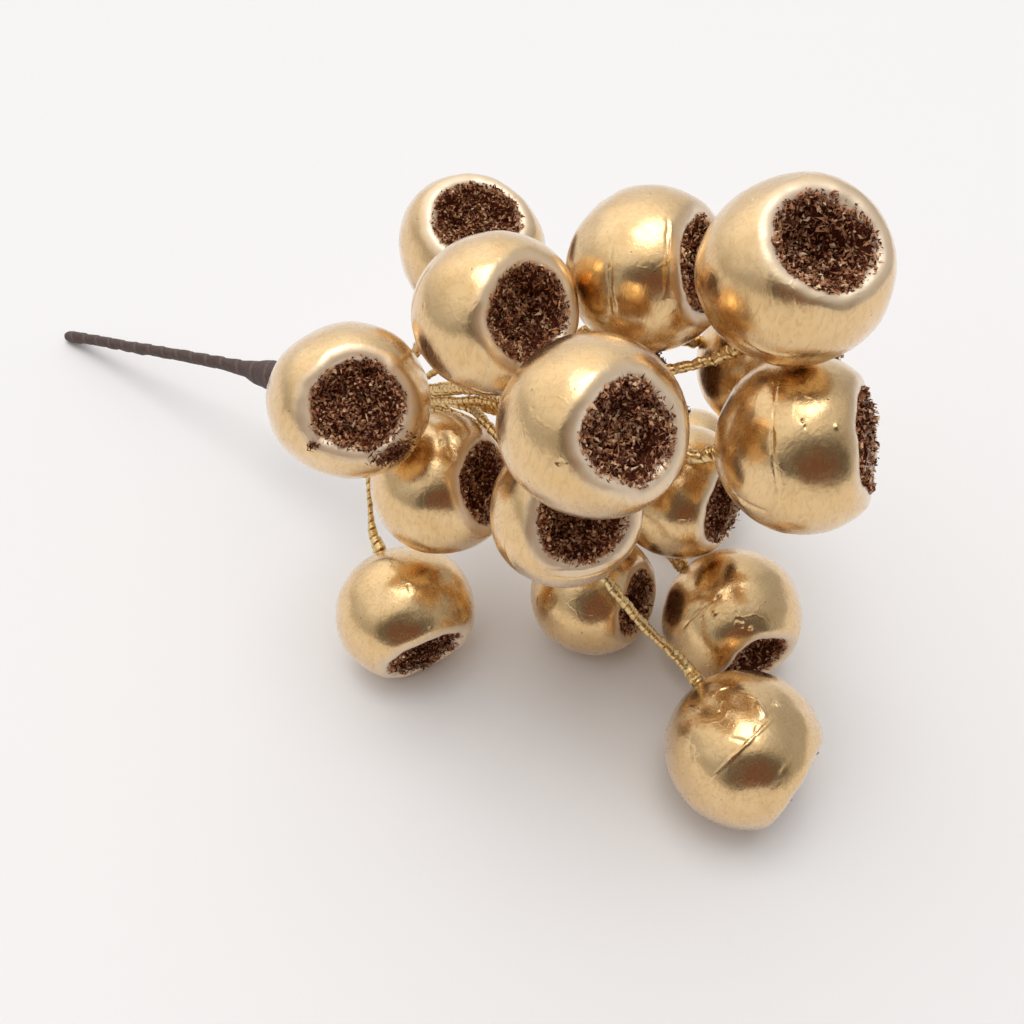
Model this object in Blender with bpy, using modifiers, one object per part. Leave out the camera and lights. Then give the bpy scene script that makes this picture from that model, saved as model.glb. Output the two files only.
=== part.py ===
"""Gum nut sprig: gold nuts with fibre beds, each on its own thread-wrapped wire, bound into one taped stem.

Lengths are in millimetres and become metres where a mesh or a curve is made. The stem points along +X and the
sprig lies on its tip and on its five lowest nuts.
"""

import math
import random
from collections import namedtuple

import bmesh
import bpy
from mathutils import Matrix, Quaternion, Vector

MM = 0.001
WELD_DISTANCE = 0.00001
SHARP_ANGLE = math.radians(40)

# The nut, in shares of its radius from its centre, with heights along the axis that runs out of its mouth.
# Its cup and its rolled rim are (radius, height), from the middle outwards
SEGMENTS = 16
CUP = ((0, 0.24), (0.30, 0.28), (0.51, 0.56))
RIM = ((0.555, 0.755), (0.60, 0.812))
SHOULDER_RADIUS = 0.655
BACK_HEIGHT = 0.95
OUTER_STEPS = 7
SOCKET_DEPTH = 0.28
ROUND_SOCKET = 0.3

# The nut's back is swung towards its wire, by more the further a point is from the mouth's axis, in degrees
LEAN_START = 60
LEAN_END = 165

# The fibre bed: its bowl is (radius, share of its depth above its middle), and its edge is cut at a slant
BOWL = ((0, 0), (0.20, 0.10), (0.38, 0.45))
BED_RADIUS = 0.54
BED_TOP = 0.74
BED_LIP = 0.03
BED_SIDE = 0.06
TUFT_HEIGHT = 0.035
TUFT_MARGIN = 0.01
BED_GAP = 0.44

# The wires
GAP = 0.3
BUNDLED_RADIUS = 0.5
BUNDLE_PITCH = 2 * BUNDLED_RADIUS + GAP
SOCKET_WIRE_RADIUS = 0.85
FLARE_RADIUS = 1.35
FLARE_LENGTH = 8.0
COLLAR_GAP = 0.4
COLLAR_STEP = 0.1
LEAD_LENGTH = 4.0
THICKENS_OVER = 14.0
WIRE_STEP = 5.0

# The taped stem: the bundle leaves its mouth at MOUTH, rising at BUNDLE_RISE
MOUTH = Vector((-4.0, -5.5, 36.5))
BUNDLE_RISE = math.radians(23)
BUNDLE_WAY = Vector((math.cos(BUNDLE_RISE), 0, math.sin(BUNDLE_RISE)))
SLEEVE_DEPTH = 17.0
GRIP_DEPTH = 16.0
STEM_WIRE_RADIUS = 0.5
STEM_WIRE_START = -100
STEM_WIRE_OUT = 6.0
BORE_SHOULDER = 0.5
BORE_OVERRUN = 2.0
FACET_ALLOWANCE = 0.2
WIRE_BEVEL_RESOLUTION = 2
STEM_BEVEL_RESOLUTION = 3
# Each row: a point on the stem's axis (x, z) and the tape's radius there, from the tip to the mouth
STEM_Y = -5.5
STEM = (
    (-105.5, 0.9, 0.9), (-104.5, 1.35, 1.35), (-101, 2.7, 1.5), (-95, 4.9, 1.3), (-85, 8.4, 1.25),
    (-74, 12.2, 1.35), (-62, 16.4, 1.3), (-52, 19.9, 1.4), (-43, 22.9, 1.5), (-37.5, 24.4, 1.8),
    (-34, 25.2, 2.5), (-30, 26.4, 3.2), (-25, 28.0, 3.8), (-20, 29.7, 4.1), (-12, 33.1, 4.3), (-4, 36.5, 4.1),
)

# Each nut: radius, centre, the way its mouth faces and the way its wire goes in (azimuth and elevation in
# degrees), depth of its bed as a share of its radius, place in the bundle (ring, degrees round it), how far
# its wire keeps to the bundle, the wire's radius, and the wire's bends on its way to the nut
Nut = namedtuple("Nut", "radius centre mouth stalk bed_depth place keeps wire bends")
NUTS = {
    "01": Nut(13.0, (14.5, 8.5, 69), (-32, 71), (-20, 60), 0.22, (2, 120), 4, 0.8,
              ((6, -1, 46), (9, 5, 51))),
    "02": Nut(12.4, (37, -16.5, 82), (-17, 36), (-17, 40), 0.34, (2, 90), 6, 0.8,
              ((9.5, -6.5, 49), (15, -8, 60))),
    "03": Nut(13.0, (16.5, -29, 63), (-38, 40), (-45, 45), 0.14, (2, 30), 0, 0.8,
              ((1, -12.5, 43),)),
    "04": Nut(13.0, (26.5, -19.5, 40), (13, 23), (8, 5), 0.26, (2, 0), 0, 0.8,
              ((3, -15, 37),)),
    "05": Nut(13.3, (25, -31.5, 12.85), (-29, -14), (-30, -30), 0.24, (2, 330), 0, 0.5,
              ((1, -11, 33), (7, -18, 28))),
    "06": Nut(13.0, (61, -28, 81.5), (-28, 38), (-28, 38), 0.22, (2, 60), 18, 0.85,
              ((26, -9, 55), (38, -14, 62))),
    "07": Nut(12.5, (55, -23.5, 56), (-41, 39), (-30, 10), 0.32, (1, 300), 18, 0.85,
              ((20, -6, 45.5), (25, -6.5, 47), (29, -9.5, 49.5), (35.5, -13, 51))),
    "08": Nut(12.8, (52.5, -6.5, 12.35), (2, 16), (5, -30), 0.24, (2, 270), 8, 0.8,
              ((16, -5, 38), (24, -2, 32), (32, -5, 25))),
    "09": Nut(13.1, (50.5, 6, 81.5), (8, 25), (8, 35), 0.26, (2, 150), 12, 0.85,
              ((17, -1.5, 52), (27, 2, 64))),
    "10": Nut(13.3, (74.5, 1.5, 94.5), (-42, 57), (15, 70), 0.34, (1, 60), 20, 0.85,
              ((28, -5.5, 54.5), (46, -9, 67), (60.5, -3.5, 73))),
    "11": Nut(13.3, (83, -3, 69), (17, 22), (22, 20), 0.24, (1, 0), 20, 0.9,
              ((22, -8, 49), (30, -9, 54), (43, -13, 60), (54, -11, 62.5))),
    "12": Nut(13.5, (69, 20, 62), (14, 9), (20, -5), 0.24, (2, 180), 16, 0.85,
              ((28, 6, 52), (41, 15, 61))),
    "13": Nut(12.5, (61.5, 8, 34), (-1, 14), (0, -20), 0.26, (1, 240), 18, 0.85,
              ((26, -2, 44), (38, 4, 42))),
    "14": Nut(12.9, (52.5, 32, 12.7), (51, -28), (45, -28), 0.24, (2, 210), 14, 0.8,
              ((24, 3, 38), (34, 13, 28))),
    "15": Nut(13.5, (78, 2.5, 13.25), (-36, -1), (-12, -17), 0.26, (2, 240), 12, 0.8,
              ((24, 0, 36), (38, 7, 28), (52, 9, 20))),
    "16": Nut(14.0, (92.5, -21.5, 13.35), (0, -9), (-20, -20), 0.24, (2, 300), 12, 0.9,
              ((20, -5, 41), (36, -5, 38), (52, -14, 37), (61, -18, 35), (69, -17, 26))),
    "17": Nut(12.4, (50, 2, 56), (46, 25), (20, 15), 0.22, (1, 180), 20, 0.85,
              ((28, -3, 51),)),
}
RESTING = ("05", "08", "14", "15", "16")

# How far a nut's outline strays from a circle, as shares of its radius, two-sided and three-sided
OVAL = 0.022
THREE_SIDED = 0.012


def clear_scene():
    for obj in list(bpy.data.objects):
        bpy.data.objects.remove(obj, do_unlink=True)


def make_collection(name):
    collection = bpy.data.collections.new(name)
    bpy.context.scene.collection.children.link(collection)
    return collection


def make_material(name, colour, roughness, metallic):
    material = bpy.data.materials.new(name)
    material.use_nodes = True
    shader = material.node_tree.nodes["Principled BSDF"]
    shader.inputs["Base Color"].default_value = (*colour, 1)
    shader.inputs["Roughness"].default_value = roughness
    shader.inputs["Metallic"].default_value = metallic
    return material


def add_object(name, data, collection, material=None):
    obj = bpy.data.objects.new(name, data)
    collection.objects.link(obj)
    if material:
        data.materials.append(material)
    return obj


def evaluated_mesh(obj):
    """The mesh that the object's modifiers or curve give, with the object itself removed."""
    bpy.context.view_layer.update()
    graph = bpy.context.evaluated_depsgraph_get()
    mesh = bpy.data.meshes.new_from_object(obj.evaluated_get(graph))
    bpy.data.objects.remove(obj, do_unlink=True)
    return mesh


def shade(mesh):
    mesh.shade_smooth()
    mesh.set_sharp_from_angle(angle=SHARP_ANGLE)


def direction(azimuth, elevation):
    azimuth, elevation = math.radians(azimuth), math.radians(elevation)
    flat = math.cos(elevation)
    return Vector((flat * math.cos(azimuth), flat * math.sin(azimuth), math.sin(elevation)))


def placing(nut):
    """The matrix that puts a shape made round +Z at the origin onto the nut, with +Z out of its mouth."""
    turn = direction(*nut.mouth).to_track_quat("Z", "Y").to_matrix().to_4x4()
    return Matrix.Translation(Vector(nut.centre) * MM) @ turn


def lean(mesh, nut):
    """Swings the nut's back round its centre, so that the wire's socket faces the way that the wire comes."""
    back = placing(nut).to_3x3().inverted() @ -direction(*nut.stalk)
    swing = Vector((0, 0, -1)).rotation_difference(back)
    for vertex in mesh.vertices:
        below = math.degrees(vertex.co.angle(Vector((0, 0, 1)), 0)) - LEAN_START
        share = min(1, max(0, below / (LEAN_END - LEAN_START)))
        vertex.co.rotate(Quaternion().slerp(swing, share * share * (3 - 2 * share)))


def nut_profile(nut):
    """The whole outline in shares of the radius: cup, rolled rim, outside and wire socket."""
    points = [*CUP, *RIM]
    socket = (SOCKET_WIRE_RADIUS + GAP) / nut.radius
    first = math.asin(SHOULDER_RADIUS)
    last = math.pi - math.asin(socket / BACK_HEIGHT)
    for step in range(OUTER_STEPS + 1):
        angle = first + (last - first) * step / OUTER_STEPS
        reach = 1 if angle < math.pi / 2 else BACK_HEIGHT
        points.append((math.sin(angle), math.cos(angle) * reach))
    points[-1] = (socket, -BACK_HEIGHT)
    points += [(socket, SOCKET_DEPTH - BACK_HEIGHT), (0, SOCKET_DEPTH - BACK_HEIGHT)]
    return points


def bed_profile(nut):
    """The fibre bed's outline in shares of the radius: a rough bowl on top, and the cup's shape below."""
    gap = BED_GAP / nut.radius
    middle = BED_TOP - nut.bed_depth
    edge = BED_RADIUS - gap
    bowl = [(radius, middle + share * nut.bed_depth) for radius, share in BOWL]
    rim = [(edge - BED_LIP, BED_TOP), (edge, BED_TOP - BED_SIDE)]
    under = [(max(0, radius - gap), height + gap) for radius, height in reversed(CUP)]
    return bowl + rim + under


def turned_mesh(name, profile, radius):
    """A closed mesh turned round +Z from the profile, made by a Screw modifier."""
    line = bpy.data.meshes.new(name)
    points = [(x * radius * MM, 0, z * radius * MM) for x, z in profile]
    line.from_pydata(points, [(i, i + 1) for i in range(len(points) - 1)], [])
    obj = bpy.data.objects.new(name, line)
    bpy.context.scene.collection.objects.link(obj)
    screw = obj.modifiers.new("turn", "SCREW")
    screw.axis = "Z"
    screw.steps = SEGMENTS
    screw.render_steps = SEGMENTS
    screw.use_merge_vertices = True
    screw.merge_threshold = WELD_DISTANCE
    return evaluated_mesh(obj)


def press(mesh, nut, key):
    """Makes the section a little oval and three-sided, as a grown nut is, and keeps the socket round."""
    draw = random.Random("outline " + key)
    oval_turn = draw.uniform(0, math.tau)
    third_turn = draw.uniform(0, math.tau)
    for vertex in mesh.vertices:
        across = Vector((vertex.co.x, vertex.co.y))
        share = min(1, across.length / (ROUND_SOCKET * nut.radius * MM))
        around = math.atan2(across.y, across.x)
        stray = OVAL * math.cos(2 * around + oval_turn) + THREE_SIDED * math.cos(3 * around + third_turn)
        vertex.co.x *= 1 + stray * share
        vertex.co.y *= 1 + stray * share


def rest_flat(mesh):
    """Cuts the nut off level at the surface that it rests on, and closes the cut."""
    work = bmesh.new()
    work.from_mesh(mesh)
    everything = work.verts[:] + work.edges[:] + work.faces[:]
    cut = bmesh.ops.bisect_plane(
        work, geom=everything, plane_co=(0, 0, 0), plane_no=(0, 0, -1), clear_outer=True
    )
    edges = [item for item in cut["geom_cut"] if isinstance(item, bmesh.types.BMEdge)]
    bmesh.ops.contextual_create(work, geom=edges)
    bmesh.ops.recalc_face_normals(work, faces=work.faces)
    work.to_mesh(mesh)
    work.free()


def make_nut(key, nut, collection, material):
    mesh = turned_mesh("nut_" + key, nut_profile(nut), nut.radius)
    press(mesh, nut, key)
    lean(mesh, nut)
    mesh.transform(placing(nut))
    if key in RESTING:
        rest_flat(mesh)
    shade(mesh)
    add_object("nut_" + key, mesh, collection, material)


def make_bed(key, nut, collection, material):
    mesh = turned_mesh("fibre_bed_" + key, bed_profile(nut), nut.radius)
    draw = random.Random("fibre " + key)
    floor = (BED_TOP - nut.bed_depth - TUFT_MARGIN) * nut.radius * MM
    for vertex in mesh.vertices:
        if vertex.co.z > floor:
            vertex.co.z += draw.uniform(-1, 1) * TUFT_HEIGHT * nut.radius * MM
    press(mesh, nut, key)
    mesh.transform(placing(nut))
    add_object("fibre_bed_" + key, mesh, collection, material)


def smooth_route(points, way_in, way_out, step):
    """Points about a step apart on one smooth curve through the given points, with its ends on the ways."""
    first = points[1] - way_in * 2 * (points[1] - points[0]).length
    last = points[-2] + way_out * 2 * (points[-1] - points[-2]).length
    ends = [first, *points, last]
    route = [points[0]]
    for before, start, end, after in zip(ends, ends[1:], ends[2:], ends[3:]):
        pieces = max(1, round((end - start).length / step))
        for piece in range(1, pieces + 1):
            t = piece / pieces
            bend_in = (end - before) / 2
            bend_out = (after - start) / 2
            square, cube = t * t, t * t * t
            route.append(
                start * (2 * cube - 3 * square + 1) + bend_in * (cube - 2 * square + t)
                + end * (3 * square - 2 * cube) + bend_out * (cube - square)
            )
    return route


def add_wire(name, points, radii, collection, material, resolution=WIRE_BEVEL_RESOLUTION):
    """A round bar along the points, with a radius at each."""
    curve = bpy.data.curves.new(name, "CURVE")
    curve.dimensions = "3D"
    curve.bevel_depth = MM
    curve.bevel_resolution = resolution
    curve.use_fill_caps = True
    spline = curve.splines.new("POLY")
    spline.points.add(len(points) - 1)
    for point, place, radius in zip(spline.points, points, radii):
        point.co = (*(place * MM), 1)
        point.radius = radius
    return add_object(name, curve, collection, material)


def bundle_offset(nut):
    """Where the wire lies in the bundle: six round the stem wire, and twelve round those."""
    ring, degrees = nut.place
    reach = ring * BUNDLE_PITCH
    if ring == 2 and degrees % 60:
        reach *= math.cos(math.radians(30))
    turn = math.radians(degrees)
    aside = Vector((0, -1, 0))
    upward = BUNDLE_WAY.cross(Vector((0, 1, 0)))
    upward = upward if upward.z > 0 else -upward
    return aside * reach * math.cos(turn) + upward * reach * math.sin(turn)


def make_nut_wire(key, nut, collection, material):
    offset = bundle_offset(nut)
    way = direction(*nut.stalk)
    back = Vector(nut.centre) - way * BACK_HEIGHT * nut.radius
    inner_end = MOUTH + offset - BUNDLE_WAY * GRIP_DEPTH
    leaves = MOUTH + offset + BUNDLE_WAY * nut.keeps
    collar = back - way * COLLAR_GAP
    free = [leaves, *(Vector(bend) for bend in nut.bends), collar - way * LEAD_LENGTH, collar]
    points = smooth_route(free, BUNDLE_WAY, way, WIRE_STEP)
    radii = []
    for point in points:
        grown = min(1, (point - leaves).length / THICKENS_OVER)
        flare = max(0, 1 - (point - collar).length / FLARE_LENGTH)
        thickness = BUNDLED_RADIUS + (nut.wire - BUNDLED_RADIUS) * grown
        radii.append(thickness + (FLARE_RADIUS - thickness) * flare)
    socket_end = back + way * (SOCKET_DEPTH * nut.radius - GAP)
    points = [inner_end, *points, collar + way * COLLAR_STEP, socket_end]
    radii = [BUNDLED_RADIUS, *radii, SOCKET_WIRE_RADIUS, SOCKET_WIRE_RADIUS]
    add_wire("wire_" + key, points, radii, collection, material)


def make_stem(collection, cutters, tape, steel):
    """The tape's solid, bored for the bundle and for the stem wire, and the stem wire itself."""
    axis = [Vector((x, STEM_Y, z)) for x, z, radius in STEM]
    outside = add_wire("tape_outside", axis, [row[2] for row in STEM], cutters, None, STEM_BEVEL_RESOLUTION)
    mesh = evaluated_mesh(outside)
    stem = add_object("taped_stem", mesh, collection, tape)
    bore = 2 * BUNDLE_PITCH + BUNDLED_RADIUS + GAP + FACET_ALLOWANCE
    narrow = STEM_WIRE_RADIUS + GAP + FACET_ALLOWANCE / 2
    deep = MOUTH - BUNDLE_WAY * SLEEVE_DEPTH
    beyond = MOUTH + BUNDLE_WAY * BORE_OVERRUN
    shoulder = deep - BUNDLE_WAY * BORE_SHOULDER
    inner_axis = [point for point in axis if STEM_WIRE_START < point.x < shoulder.x]
    route = [*inner_axis, shoulder, deep, beyond]
    widths = [narrow] * (len(inner_axis) + 1) + [bore, bore]
    cutter = add_wire("stem_bore", route, widths, cutters, None, STEM_BEVEL_RESOLUTION)
    cutter = add_object("stem_bore", evaluated_mesh(cutter), cutters)
    for item in (stem, cutter):
        weld(item.data)
    cutter.hide_render = True
    cutter.display_type = "WIRE"
    cut = stem.modifiers.new("bore", "BOOLEAN")
    cut.operation = "DIFFERENCE"
    cut.solver = "EXACT"
    cut.object = cutter
    shade(stem.data)
    lead = (inner_axis[1] - inner_axis[0]).normalized() * GAP
    wire_route = [inner_axis[0] + lead, *inner_axis[1:], deep, MOUTH + BUNDLE_WAY * STEM_WIRE_OUT]
    add_wire("stem_wire", wire_route, [STEM_WIRE_RADIUS] * len(wire_route), collection, steel)


def weld(mesh):
    work = bmesh.new()
    work.from_mesh(mesh)
    bmesh.ops.remove_doubles(work, verts=work.verts, dist=WELD_DISTANCE)
    work.to_mesh(mesh)
    work.free()


def main():
    clear_scene()
    sprig = make_collection("gum_nut_sprig")
    cutters = make_collection("cutters")
    gold = make_material("gold paint", (0.58, 0.40, 0.17), 0.3, 1.0)
    fibre = make_material("shredded fibre", (0.10, 0.04, 0.03), 0.8, 0.0)
    thread = make_material("gold thread", (0.48, 0.30, 0.10), 0.35, 1.0)
    tape = make_material("brown florist's tape", (0.075, 0.045, 0.038), 0.75, 0.0)
    steel = make_material("annealed steel wire", (0.35, 0.34, 0.33), 0.4, 1.0)
    for key, nut in NUTS.items():
        make_nut(key, nut, sprig, gold)
        make_bed(key, nut, sprig, fibre)
        make_nut_wire(key, nut, sprig, thread)
    make_stem(sprig, cutters, tape, steel)


main()
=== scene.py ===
"""The gum nut sprig's finish: gold nuts, the fibre in their mouths, thread-wound wires and a taped stem.

Lengths are in millimetres, and become metres where a mesh is made.
"""

import math
import random
from collections import namedtuple

import bmesh
import bpy
import numpy as np
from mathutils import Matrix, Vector, noise


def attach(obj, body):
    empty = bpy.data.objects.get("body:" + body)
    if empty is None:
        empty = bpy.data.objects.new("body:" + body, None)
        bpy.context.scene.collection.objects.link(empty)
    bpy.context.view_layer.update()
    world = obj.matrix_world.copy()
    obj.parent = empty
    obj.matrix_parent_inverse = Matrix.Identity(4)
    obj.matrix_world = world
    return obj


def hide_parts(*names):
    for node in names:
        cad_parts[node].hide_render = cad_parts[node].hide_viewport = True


MM = 0.001

# The photograph's viewpoint: where the camera stands, the way it faces, how far it looks down, and its lens
CAMERA_PLACE = (110.65, -121.53, 188.95)
CAMERA_AZIMUTH = 33.93
CAMERA_DOWN = 50
CAMERA_LENS = 38.67

# The nut's skin, unrolled: steps round it and from its mouth to its wire, how much finer it is at a mark, how
# far from the mark that goes (in the mark's widths, and a margin), and how near two points are to be one
AROUND = 92
ALONG = 74
MARK_CUTS = 3
MARK_REACH = 1.6
MARK_MARGIN = 0.38
MERGED_WITHIN = 0.004

# The skin's outline in shares of the nut's radius, as (radius, height): its wall inside the mouth and its rim.
# From SPHERE_FROM degrees off the mouth's axis it is round
RIM = (
    (0.490, 0.480), (0.494, 0.560), (0.499, 0.626), (0.508, 0.660), (0.530, 0.695), (0.557, 0.715),
    (0.592, 0.727), (0.630, 0.727), (0.674, 0.713), (0.714, 0.692),
)
SPHERE_FROM = 48
BACK_HEIGHT = 0.95
SOCKET_DEPTH = 0.28
SOCKET_LIP = 0.02
ROUND_SOCKET = 0.3

# Where along the outline, in shares of its length, the pale dust on the rim ends and the skin's lumps begin
RIM_DUST = (0.09, 0.18)
LUMPS_START = 0.10
LUMPS_FADE = 0.08

# Where the nut's back leans towards its wire, in degrees off the mouth's axis, how far its section strays from
# round, and its lumps as (size, height)
LEAN_START = 60
LEAN_END = 165
OVAL = 0.022
THREE_SIDED = 0.012
LUMPS = ((9.0, 0.24), (4.0, 0.14), (1.6, 0.035))

# The fibre's bowl, in shares of the nut's radius. The mass lies BED_SUNK below the shreds that cover it
BED_TOP = 0.70
BED_DEEPER = 1.15
BED_MIDDLE = 0.02
BED_EDGE = 0.57
BED_STEEPNESS = 2.6
BED_FLAT = 0.49
BED_RINGS = 22
BED_SPOKES = 60
BED_SUNK = 0.6
# The mass's dark tone is partly the husk's own maroon and partly painted shade in the gaps between the shreds
BED_TONE_WITH_PAINTED_SHADE = 0.05
CLUMPS = ((4.0, 1.5), (1.7, 1.0), (0.7, 0.3))
CLUMPS_END = BED_EDGE + 0.03
CLUMPS_FADE = 0.15

# The shreds in the bowl and in the fringe at its edge: how many, how far out they lie, how high they stand,
# and their tilt in radians as (mean, spread)
SHREDS = 2300
SHRED_REACH = 0.55
SHRED_LIFT = (-0.55, 0.3)
SHRED_TILT = (0, 0.5)
FRINGE_SHREDS = 600
FRINGE_REACH = (0.51, 0.58)
FRINGE_RISE = (-0.1, 0.45)
FRINGE_TILT = (0.6, 0.4)

# One shred: half its length and its width as lognormal draws with their limits, its tone as a beta draw, how
# far it bends, and how much wider than thick it is
SHRED_HALF = (-0.95, 0.4)
SHRED_HALF_LIMITS = (0.2, 1.0)
SHRED_WIDTH = (-2.3, 0.4)
SHRED_WIDTH_LIMITS = (0.05, 0.2)
SHRED_TONE = (0.5, 0.8)
SHRED_BEND = 0.3
SHRED_FLATNESS = 1.4

# The wires
GAP = 0.3
BUNDLED_RADIUS = 0.5
BUNDLE_PITCH = 2 * BUNDLED_RADIUS + GAP
USUAL_RADIUS = 0.8
SOCKET_WIRE_RADIUS = 0.85
FLARE_RADIUS = 1.35
FLARE_LENGTH = 8.0
COLLAR_GAP = 0.4
COLLAR_STEP = 0.1
LEAD_LENGTH = 4.0
THICKENS_OVER = 14.0
MOUTH = Vector((-4.0, -5.5, 36.5))
BUNDLE_RISE = math.radians(23)
BUNDLE_WAY = Vector((math.cos(BUNDLE_RISE), 0, math.sin(BUNDLE_RISE)))
GRIP_DEPTH = 16.0
GRIP_STEPS = 6

# The thread on a wire: its turns, how they lap and crumple, and how their pitch drifts along the wire
THREAD_PITCH = 1.5
THREAD_LAP = 0.16
THREAD_LAP_FADE = 0.15
THREAD_SHADOW = 0.16
THREAD_CRUMPLE = ((1.6, 0.2), (0.5, 0.09))
THREAD_STEP = 0.18
THREAD_SIDES = 14
DRIFT = 0.5
DRIFT_SPREAD = 0.5
DRIFT_EVERY = 3
DRIFT_PAST_END = 9

# The taped stem: each row is a point on its axis (x, z) and the tape's radius there, from its tip to its mouth
STEM_Y = -5.5
STEM = (
    (-105.5, 0.9, 0.9), (-104.5, 1.35, 1.35), (-101, 2.7, 1.5), (-95, 4.9, 1.3), (-85, 8.4, 1.25),
    (-74, 12.2, 1.35), (-62, 16.4, 1.3), (-52, 19.9, 1.4), (-43, 22.9, 1.5), (-37.5, 24.4, 1.8),
    (-34, 25.2, 2.5), (-30, 26.4, 3.2), (-25, 28.0, 3.8), (-20, 29.7, 4.1), (-12, 33.1, 4.3), (-4, 36.5, 4.1),
)
TAPE_PITCH = 5.5
TAPE_STEP = 0.16
TAPE_SIDES = 40
TAPE_SPACING = 0.4
TAPE_STRETCH = 0.25
TAPE_CREASES = ((1.1, 0.12), (0.5, 0.05))
TAPE_LUMPS = ((4.0, 0.16),)
TAPE_EDGE_START = 0.82
TAPE_EDGE_WIDTH = 0.18

# How far above the floor the lowest fibre and tape lie, and half the floor's width in metres
FLOOR_LIFT = 0.05
FLOOR_HALF = 4.0

# The lamp, in metres and watts
LAMP_PLACE = (-0.08, 0.11, 2.6)
LAMP_AIM = (0.03, 0, 0.04)
LAMP_WIDTH = 1.6
LAMP_POWER = 19
LAMP_COLOUR = (1.0, 0.99, 0.975)

# The room's brightness, and what a window behind the sprig and the pale ceiling at the left add to it: which
# way each is, where it starts and is full, as cosines off that way, and how much it adds
Glow = namedtuple("Glow", "azimuth elevation start full adds")
ROOM_DIM = 0.48
ROOM_GLOWS = (
    Glow(CAMERA_AZIMUTH + 105, 15, 0.45, 0.95, 0.44),
    Glow(CAMERA_AZIMUTH + 160, 68, 0.35, 0.95, 0.64),
)

# The dark screen behind the camera, reddish in its middle: which way it is, half its width and height in
# shares of the sky's radius, how bright its edge and its middle are, and how far in each of the two fades
SCREEN_AZIMUTH = CAMERA_AZIMUTH - 90 + 7
SCREEN_ELEVATION = 20
SCREEN_HALF = (0.80, 0.66)
SCREEN_DIM = 0.15
SCREEN_MIDDLE = 0.22
SCREEN_EDGE_FADE = (0.0, 0.22)
SCREEN_MIDDLE_FADE = (0.3, 0.65)

# Each nut: radius, centre, the way its mouth faces and the way its wire goes in (azimuth and elevation in
# degrees), depth of its bed as a share of its radius, place in the bundle (ring, degrees round it), how far
# its wire keeps to the bundle, the wire's radius, and the wire's bends on its way to the nut
Nut = namedtuple("Nut", "radius centre mouth stalk bed_depth place keeps wire bends")
NUTS = {
    "01": Nut(13.0, (14.5, 8.5, 69), (-32, 71), (-20, 60), 0.22, (2, 120), 4, 0.8,
              ((6, -1, 46), (9, 5, 51))),
    "02": Nut(12.4, (37, -16.5, 82), (-17, 36), (-17, 40), 0.34, (2, 90), 6, 0.8,
              ((9.5, -6.5, 49), (15, -8, 60))),
    "03": Nut(13.0, (16.5, -29, 63), (-38, 40), (-45, 45), 0.14, (2, 30), 0, 0.8,
              ((1, -12.5, 43),)),
    "04": Nut(13.0, (26.5, -19.5, 40), (13, 23), (8, 5), 0.26, (2, 0), 0, 0.8,
              ((3, -15, 37),)),
    "05": Nut(13.3, (25, -31.5, 12.85), (-29, -14), (-30, -30), 0.24, (2, 330), 0, 0.5,
              ((1, -11, 33), (7, -18, 28))),
    "06": Nut(13.0, (61, -28, 81.5), (-28, 38), (-28, 38), 0.22, (2, 60), 18, 0.85,
              ((26, -9, 55), (38, -14, 62))),
    "07": Nut(12.5, (55, -23.5, 56), (-41, 39), (-30, 10), 0.32, (1, 300), 18, 0.85,
              ((20, -6, 45.5), (25, -6.5, 47), (29, -9.5, 49.5), (35.5, -13, 51))),
    "08": Nut(12.8, (52.5, -6.5, 12.35), (2, 16), (5, -30), 0.24, (2, 270), 8, 0.8,
              ((16, -5, 38), (24, -2, 32), (32, -5, 25))),
    "09": Nut(13.1, (50.5, 6, 81.5), (8, 25), (8, 35), 0.26, (2, 150), 12, 0.85,
              ((17, -1.5, 52), (27, 2, 64))),
    "10": Nut(13.3, (74.5, 1.5, 94.5), (-42, 57), (15, 70), 0.34, (1, 60), 20, 0.85,
              ((28, -5.5, 54.5), (46, -9, 67), (60.5, -3.5, 73))),
    "11": Nut(13.3, (83, -3, 69), (17, 22), (22, 20), 0.24, (1, 0), 20, 0.9,
              ((22, -8, 49), (30, -9, 54), (43, -13, 60), (54, -11, 62.5))),
    "12": Nut(13.5, (69, 20, 62), (14, 9), (20, -5), 0.24, (2, 180), 16, 0.85,
              ((28, 6, 52), (41, 15, 61))),
    "13": Nut(12.5, (61.5, 8, 34), (-1, 14), (0, -20), 0.26, (1, 240), 18, 0.85,
              ((26, -2, 44), (38, 4, 42))),
    "14": Nut(12.9, (52.5, 32, 12.7), (51, -28), (45, -28), 0.24, (2, 210), 14, 0.8,
              ((24, 3, 38), (34, 13, 28))),
    "15": Nut(13.5, (78, 2.5, 13.25), (-36, -1), (-12, -17), 0.26, (2, 240), 12, 0.8,
              ((24, 0, 36), (38, 7, 28), (52, 9, 20))),
    "16": Nut(14.0, (92.5, -21.5, 13.35), (0, -9), (-20, -20), 0.24, (2, 300), 12, 0.9,
              ((20, -5, 41), (36, -5, 38), (52, -14, 37), (61, -18, 35), (69, -17, 26))),
    "17": Nut(12.4, (50, 2, 56), (46, 25), (20, 15), 0.22, (1, 180), 20, 0.85,
              ((28, -3, 51),)),
}
RESTING = ("05", "08", "14", "15", "16")

# How wide a nut's mouth is against the usual one
MOUTH_WIDTH = {"08": 0.86, "15": 0.86, "16": 0.9}

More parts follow.
